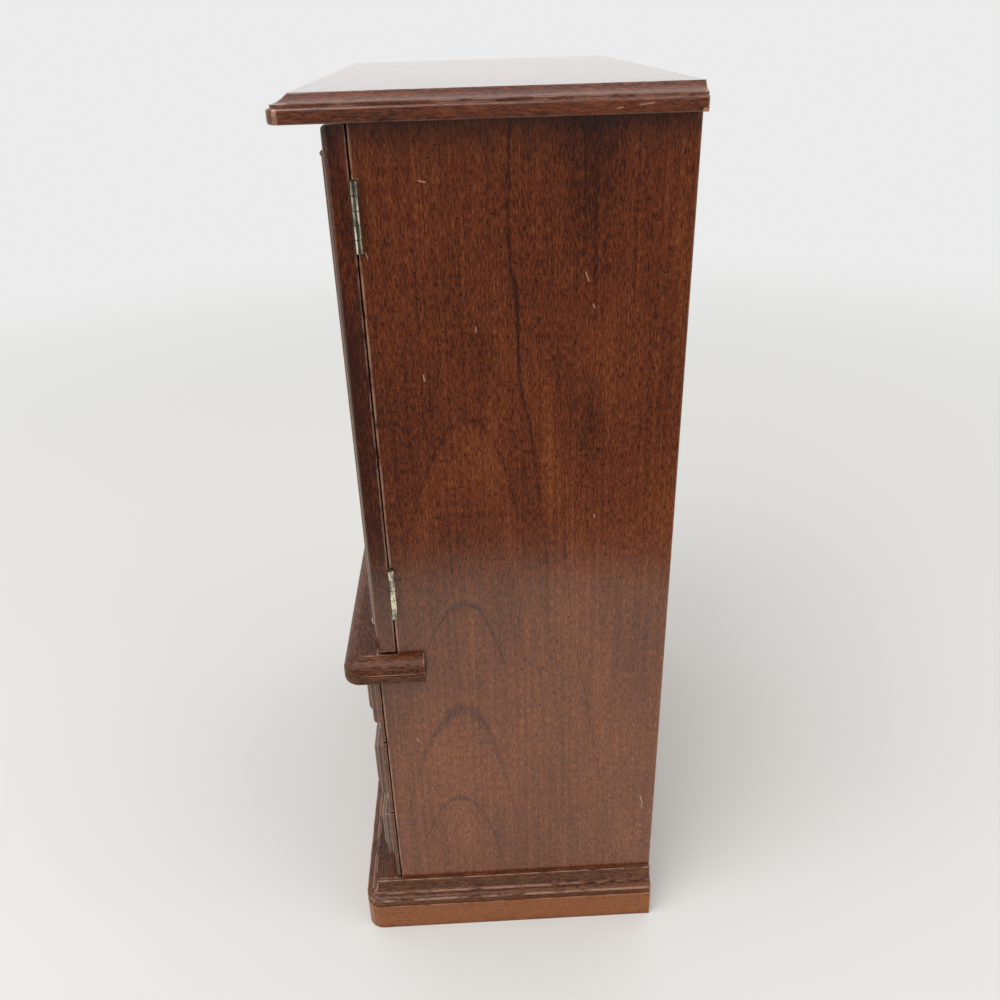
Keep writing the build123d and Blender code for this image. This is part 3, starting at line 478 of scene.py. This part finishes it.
def stained_wood(name, axes, shift, heart=0.0, heart_lean=0.0, arch=0.0055, tone=0.45, wear=1.0, streaks=0.5, sway=1.0,
                 rings=0.45, contrast=1.0, gloss=0.14, coat=1.0, arris=0.0009, stain=RED_BROWN,
                 right_panel=False, plinth=False, waist=False, door=False, chips=()):
    """Stained wood under lacquer.

    heart, heart_lean and arch place the growth rings: the line that they arch over, how it leans, and how narrow they
    are. tone is the mean lightness, and contrast its range; streaks, rings and sway are the strength of the ribbons,
    of the growth rings and of their bends. wear and arris say how much of the edges is bared to
    pale wood, with a painted highlight, and how far in. coat is how much lacquer there is, and gloss its roughness.
    The flags and chips add what only one piece has; on the top board that is chipped places and a
    painted highlight on its front corner.
    """
    g = Graph(name)
    position = grain_position(g, axes, shift)
    across, depth, along = g.split(position)

    # growth rings: parabolas about a heart line, bent by a slow noise
    bend = g.times(g.minus(g.noise(g.stretch(position, BEND_SCALE), detail=3), 0.5), sway)
    heart_line = g.plus(heart, g.times(along, heart_lean))
    off_heart = g.plus(g.minus(across, heart_line), g.times(bend, HEART_BEND))
    rise = g.times(g.times(off_heart, off_heart), 0.5 / arch)
    ring = g.plus(g.plus(along, g.times(depth, RING_DEPTH)), g.plus(rise, g.times(bend, RING_BEND)))
    broad_rings = g.noise_line(g.times(ring, BROAD_RING_SCALE), detail=3, roughness=0.6)
    thin_rings = g.noise_line(g.times(ring, THIN_RING_SCALE), detail=2)
    ring_lines = g.times(g.step(thin_rings, 0.60, 0.70), g.step(broad_rings, 0.35, 0.6))

    # slow change of tone, ribbons, short fibres and dark specks
    clouds = g.noise(g.stretch(position, CLOUD_SCALE, (3.1, 0.4, 7.7)), detail=4, roughness=0.6)
    ribbons = g.noise(g.stretch(position, RIBBON_SCALE, (1.7, 0, 0)), detail=2, roughness=0.6)
    fibres = g.noise(g.stretch(position, FIBRE_SCALE), detail=2, roughness=0.75)
    mottle = g.noise(g.stretch(position, MOTTLE_SCALE, (0, 5.1, 0)), detail=2)
    speck_far, speck_kind = g.cells(g.stretch(position, SPECK_SCALE, (0.3, 0.8, 0.1)))
    specks = g.times(g.step(speck_far, 0.135, 0.085), g.step(speck_kind, 0.35, 0.40))
    strokes = g.step(g.noise(g.stretch(position, STROKE_SCALE, (0, 0, 2.3)), detail=1), 0.56, 0.68)

    # the lightness of the stain: about 0 at its deepest, 1 where it is thin
    light = g.minus(clouds, 0.5)
    light = g.plus(light, g.times(g.minus(broad_rings, 0.5), rings))
    light = g.plus(light, g.times(g.minus(ribbons, 0.5), streaks))
    light = g.plus(light, g.times(g.minus(fibres, 0.5), FIBRE_AMOUNT))
    light = g.minus(light, g.times(strokes, STROKE_AMOUNT))
    light = g.plus(light, g.times(g.minus(mottle, 0.5), MOTTLE_AMOUNT))
    light = g.math("MULTIPLY_ADD", light, contrast, tone)
    if right_panel:
        light = panel_marks(g, light, off_heart, ring)
    if door:  # its hinge edge is darkest at mid height
        x, _, z = g.split(g.coordinates)
        on_edge = g.times(g.step(g.math("ABSOLUTE", x), *DOOR_EDGE_X), g.step(z, *DOOR_EDGE_Z))
        at_bottom, growth, grown = DOOR_EDGE_SHADE
        light = g.minus(light, g.times(on_edge, g.plus(at_bottom, g.times(g.step(z, *growth), grown))))
    if plinth:
        z = g.split(g.coordinates)[2]
        light = g.plus(light, g.times(g.step(z, *PLINTH_Z), PLINTH_AMOUNT))
    colour = g.mix(g.step(light, -0.05, 0.55), DEEP_BROWN, stain)
    colour = g.mix(g.step(light, 0.45, 1.15), colour, ORANGE_BROWN)
    if not right_panel:
        colour = g.mix(g.times(ring_lines, 0.9 * rings), colour, DEEP_BROWN)
    colour = g.mix(g.times(specks, 0.92), colour, GRIME_AND_SHADE)

    # painted shade in the corners and grooves; bare wood, with a painted highlight, on the arrises
    open_share = g.crevices(CORNER_SHADE_REACH)
    # painted shade: darker where corners and grooves close in
    colour = g.mix(g.times(g.step(open_share, 0.66, 0.34), 0.85), colour, GRIME_AND_SHADE)
    rub_and_highlight_patches = g.noise(g.stretch(position, RUB_AND_HIGHLIGHT_SCALE), detail=3, roughness=0.65)
    edge = g.times(g.step(g.arrises(arris), 0.010, 0.09), g.step(open_share, 0.42, 0.62))
    # pale arrises: rubbed bare wood together with a painted highlight
    worn_and_highlit = g.times(g.times(edge, g.step(rub_and_highlight_patches, 0.38, 0.58)), wear)
    if waist:  # the front corner is hardly rubbed pale, and gets hardly any painted highlight
        worn_and_highlit = g.times(worn_and_highlit, g.step(g.split(g.coordinates)[1], *WAIST_CORNER_Y))
    colour = g.mix(g.times(worn_and_highlit, 0.70), colour, BARE_WOOD_AND_HIGHLIGHT)
    if right_panel:
        for start, end in PANEL_NICKS:
            nick = g.nick((PANEL_FACE, *start), (PANEL_FACE, *end), NICK_HALF_WIDTH)
            colour = g.mix(g.times(nick, g.plus(rub_and_highlight_patches, 0.2)), colour, BARE_WOOD_AND_HIGHLIGHT)
        # pale lines on the panel's front edge: wear and a painted highlight
        _, y, z = g.split(g.coordinates)
        upper, lower = (g.times(g.band(y, place, half_width), g.step(z, *reach))
                        for place, half_width, reach in FRONT_ARRISES)
        front_arris = g.plus(upper, lower)
        colour = g.mix(g.times(g.times(front_arris, g.step(rub_and_highlight_patches, 0.36, 0.55)), 0.40), colour, BARE_WOOD_AND_HIGHLIGHT)
    # worn chips, and on the top board's front corner a painted highlight
    for start, end, half_width, strength in chips:
        chip = g.times(g.nick(start, end, half_width), g.plus(0.1, rub_and_highlight_patches))
        colour = g.mix(g.times(chip, strength), colour, BARE_WOOD_AND_HIGHLIGHT)

    height = g.plus(g.times(fibres, 0.5), g.times(specks, -0.6))
    height = g.plus(height, g.noise(position, 90, detail=1))
    g.shader.inputs["Specular IOR Level"].default_value = STAIN_SPECULAR
    return g.finish(colour, STAIN_ROUGHNESS, height, STAIN_BUMP, coat=coat, coat_roughness=gloss,
                    coat_ior=LACQUER_IOR, coat_bump=LACQUER_BUMP)


# ---------------------------------------------------------------- other materials
PALE_WOOD = ((0.20, 0.105, 0.055, 1), (0.40, 0.25, 0.145, 1))  # deepest and palest colour, as in the next
PLYWOOD = ((0.17, 0.085, 0.045, 1), (0.32, 0.185, 0.105, 1))
# the colour of the painted shade in the corners of the plain wood
CORNER_SHADE_BROWN = (0.03, 0.018, 0.01, 1)
HINGE_BRASS = ((0.86, 0.81, 0.69, 1), (0.05, 0.042, 0.030, 1))  # bright colour, and the colour of tarnish and of the painted shade in crevices, as in the next two
KNOB_BRASS = ((0.80, 0.62, 0.33, 1), (0.22, 0.15, 0.07, 1))
STEEL = ((0.60, 0.60, 0.60, 1), (0.20, 0.19, 0.18, 1))
FELT = ((0.035, 0.003, 0.005, 1), (0.17, 0.015, 0.020, 1))  # deepest and palest colour, as in the next
BROWN_PLASTIC = ((0.045, 0.022, 0.014, 1), (0.065, 0.032, 0.020, 1))
FELT_SHEEN = (0.75, 0.25, 0.24, 1)
LOWER_HINGE_START = 0.1951  # z of the barrel's lower end
UPPER_HINGE_START = 0.3531
BETWEEN_HINGES = 0.28
KNUCKLE_PITCH = 0.00496
KNUCKLES = 5
HINGE_AXIS_X = 0.1214
HINGE_AXIS_Y = -0.04585
BARREL_RADIUS = (0.0016, 0.0014)  # what is nearer to the axis than these is the barrel


def plain_wood(name, axes, shift, deep, pale):
    """Unpolished, lightly stained wood of the drawer boxes and the back."""
    g = Graph(name)
    position = grain_position(g, axes, shift)
    clouds = g.noise(g.stretch(position, (14, 14, 4)), detail=3)
    fibres = g.noise(g.stretch(position, (700, 700, 22)), detail=3, roughness=0.7)
    pores = g.step(g.noise(g.stretch(position, (1500, 1500, 110)), detail=1), 0.60, 0.72)
    light = g.plus(g.times(clouds, 0.9), g.times(fibres, 0.6))
    colour = g.mix(g.step(light, 0.52, 0.92), deep, pale)
    colour = g.mix(g.times(pores, 0.45), colour, (deep[0] * 0.5, deep[1] * 0.45, deep[2] * 0.4, 1))
    # painted shade in the corners and grooves
    corners = g.step(g.crevices(CORNER_SHADE_REACH), 0.6, 0.3)
    colour = g.mix(g.times(corners, 0.5), colour, CORNER_SHADE_BROWN)
    height = g.plus(fibres, g.times(pores, -0.8))
    return g.finish(colour, g.plus(0.5, g.times(fibres, 0.2)), height, 0.00008)


def aged_metal(name, bright, dull, scale, polish, drawn=1.0, joints=False):
    """Metal with tarnished patches, in streaks along Z where drawn is under 1, and painted shade in its crevices.

    joints is for the hinges: it paints shade into the cracks between knuckles, and keeps most of the tarnished
    patches to the barrel.
    """
    g = Graph(name)
    place = g.stretch(g.coordinates, (scale, scale, scale * drawn))
    blotches = g.noise(place, detail=4, roughness=0.65)
    fine = g.noise(place, 6, detail=2)
    tarnish_and_shade = g.step(g.plus(g.times(blotches, 0.75), g.times(fine, 0.3)), 0.45, 0.58)
    # painted shade in the crevices, taken into the tarnish
    crevice_shade = g.step(g.crevices(0.0012), 0.85, 0.45)
    if joints:
        x, y, z = g.split(g.coordinates)
        from_axis = g.join(g.minus(g.math("ABSOLUTE", x), HINGE_AXIS_X), g.minus(y, HINGE_AXIS_Y), 0.0)
        away = g.add("ShaderNodeVectorMath", operation="LENGTH")
        g.feed(away.inputs[0], from_axis)
        barrel = g.step(away.outputs["Value"], *BARREL_RADIUS)
        tarnish_and_shade = g.times(tarnish_and_shade, g.plus(0.35, g.times(barrel, 0.65)))
    tarnish_and_shade = g.most(g.times(tarnish_and_shade, 0.85), crevice_shade)
    # on the hinges, painted shade in the cracks between the knuckles
    if joints:
        is_upper = g.math("GREATER_THAN", z, BETWEEN_HINGES)
        start = g.math("MULTIPLY_ADD", is_upper, UPPER_HINGE_START - LOWER_HINGE_START, LOWER_HINGE_START)
        count = g.times(g.minus(z, start), 1 / KNUCKLE_PITCH)
        off_middle = g.math("ABSOLUTE", g.minus(g.math("FRACT", count), 0.5))
        within = g.times(g.step(count, 0.3, 0.6), g.step(count, KNUCKLES - 0.3, KNUCKLES - 0.6))
        tarnish_and_shade = g.most(tarnish_and_shade, g.times(g.step(off_middle, 0.455, 0.485), g.times(barrel, within)))
    colour = g.mix(tarnish_and_shade, bright, dull)
    roughness = g.plus(polish, g.times(tarnish_and_shade, 0.20))
    return g.finish(colour, roughness, g.plus(blotches, fine), 0.00003, metal=1.0)


def felt_material(name):
    g = Graph(name)
    tufts = g.noise(g.coordinates, 900, detail=4, roughness=0.7)
    patches = g.noise(g.coordinates, 22, detail=3)
    light = g.plus(g.times(tufts, 0.8), g.times(patches, 0.4))
    colour = g.mix(g.step(light, 0.42, 0.78), *FELT)
    g.shader.inputs["Sheen Weight"].default_value = 0.20
    g.shader.inputs["Sheen Roughness"].default_value = 0.5
    g.shader.inputs["Sheen Tint"].default_value = FELT_SHEEN
    return g.finish(colour, g.plus(0.85, g.times(tufts, 0.1)), tufts, 0.0004)


def plastic_material(name):
    g = Graph(name)
    grain = g.noise(g.coordinates, 1200, detail=2)
    patches = g.noise(g.coordinates, 60, detail=2)
    colour = g.mix(patches, *BROWN_PLASTIC)
    return g.finish(colour, g.plus(0.42, g.times(grain, 0.12)), grain, 0.00002)


# ---------------------------------------------------------------- which piece gets what
PANEL_HEART = -0.0268  # y of the heart line of the side panels at the floor
PANEL = {"heart_lean": 0.055, "tone": 0.50, "streaks": 0.8}
MOULDING = {"heart": 0.7, "arch": 0.06, "contrast": 0.85, "gloss": 0.30, "wear": 1.4, "rings": 0.12,
            "stain": WALNUT_BROWN}


def dress(node_name, material):
    node = nodes[node_name]
    if not node.material_slots:
        node.data.materials.append(material)
    for place in node.material_slots:
        place.material = material


def dress_in_stain(node_name, axes, shift, **looks):
    """axes are the node's own, across, through and along the grain; shift gives each piece its own figure."""
    dress(node_name, stained_wood(node_name, axes, shift, **looks))


def dress_stained_wood():
    dress_in_stain("side_panel_right", "yxz", (0.0, -PANEL_FACE, 0.0), heart=PANEL_HEART, rings=0.20, sway=0.35,
                   right_panel=True, **PANEL)
    dress_in_stain("side_panel_left", "yxz", (0.31, 0.0, 0.22), heart=PANEL_HEART + 0.31, **PANEL)
    for index, side in enumerate(("right", "left")):
        dress_in_stain(f"door_panel_{side}", "xyz", (0.7 * index, 0.3, 1.3), heart=0.06, tone=0.31, contrast=0.8,
                       arris=0.0012, door=True)
        dress_in_stain(f"door_bead_{side}", "xyz", (0.4 * index, 0.9, 2.1), heart=0.3, tone=0.36)
    dress_in_stain("top_board", "xzy", (0.2, 0.1, 3.2), heart=0.22, arch=0.06, tone=0.37, rings=0.3, contrast=0.85,
                   gloss=0.09, chips=TOP_CHIPS_AND_HIGHLIGHT)
    for side, axes, along in (("left", "zxy", 5.3), ("right", "zxy", 5.3), ("front", "zyx", 4.1)):
        dress_in_stain(f"base_moulding_{side}", axes, (0.0, 0.2, along), tone=0.34, coat=0.45, plinth=True, **MOULDING)
        dress_in_stain(f"waist_moulding_{side}", axes, (0.5, 0.2, along), tone=0.31, coat=0.28, waist=True, **MOULDING)
    for index, level in enumerate(("bottom", "middle", "top")):
        dress_in_stain(f"drawer_{level}_front", "zyx", (0.13 * index, 0.5, 0.9 * index), heart=0.1 + 0.11 * index,
                       tone=0.28, contrast=0.8, gloss=0.2, wear=0.5)
    dress_in_stain("waist_board", "yzx", (0.9, 0.1, 0.6), heart=0.9)
    dress_in_stain("hook_rail", "zyx", (0.1, 1.1, 0.2), heart=0.2)


def dress_the_rest():
    drawer_wood = {
        "x": plain_wood("drawer_wood_x", "zyx", (0.1, 0.2, 0.3), *PALE_WOOD),
        "y": plain_wood("drawer_wood_y", "zxy", (0.4, 0.1, 0.2), *PALE_WOOD),
    }
    by_slot = {
        "plywood": plain_wood("plywood", "xyz", (0.3, 0.6, 0.1), *PLYWOOD),
        "hinge_brass": aged_metal("hinge_brass", *HINGE_BRASS, scale=900, polish=0.08, drawn=0.12, joints=True),
        "knob_brass": aged_metal("knob_brass", *KNOB_BRASS, scale=160, polish=0.20),
        "steel": aged_metal("steel", *STEEL, scale=300, polish=0.30),
        "catch_plastic": plastic_material("catch_plastic"),
        "felt": felt_material("felt"),
    }
    for entry in frame["record"]["subparts"]:
        name, slot = entry["node"], entry["material_slot"]
        if slot == "drawer_wood":
            dress(name, drawer_wood["y" if "_side_" in name else "x"])
        elif slot in by_slot:
            dress(name, by_slot[slot])


make_camera()
make_studio()
dress_stained_wood()
dress_the_rest()
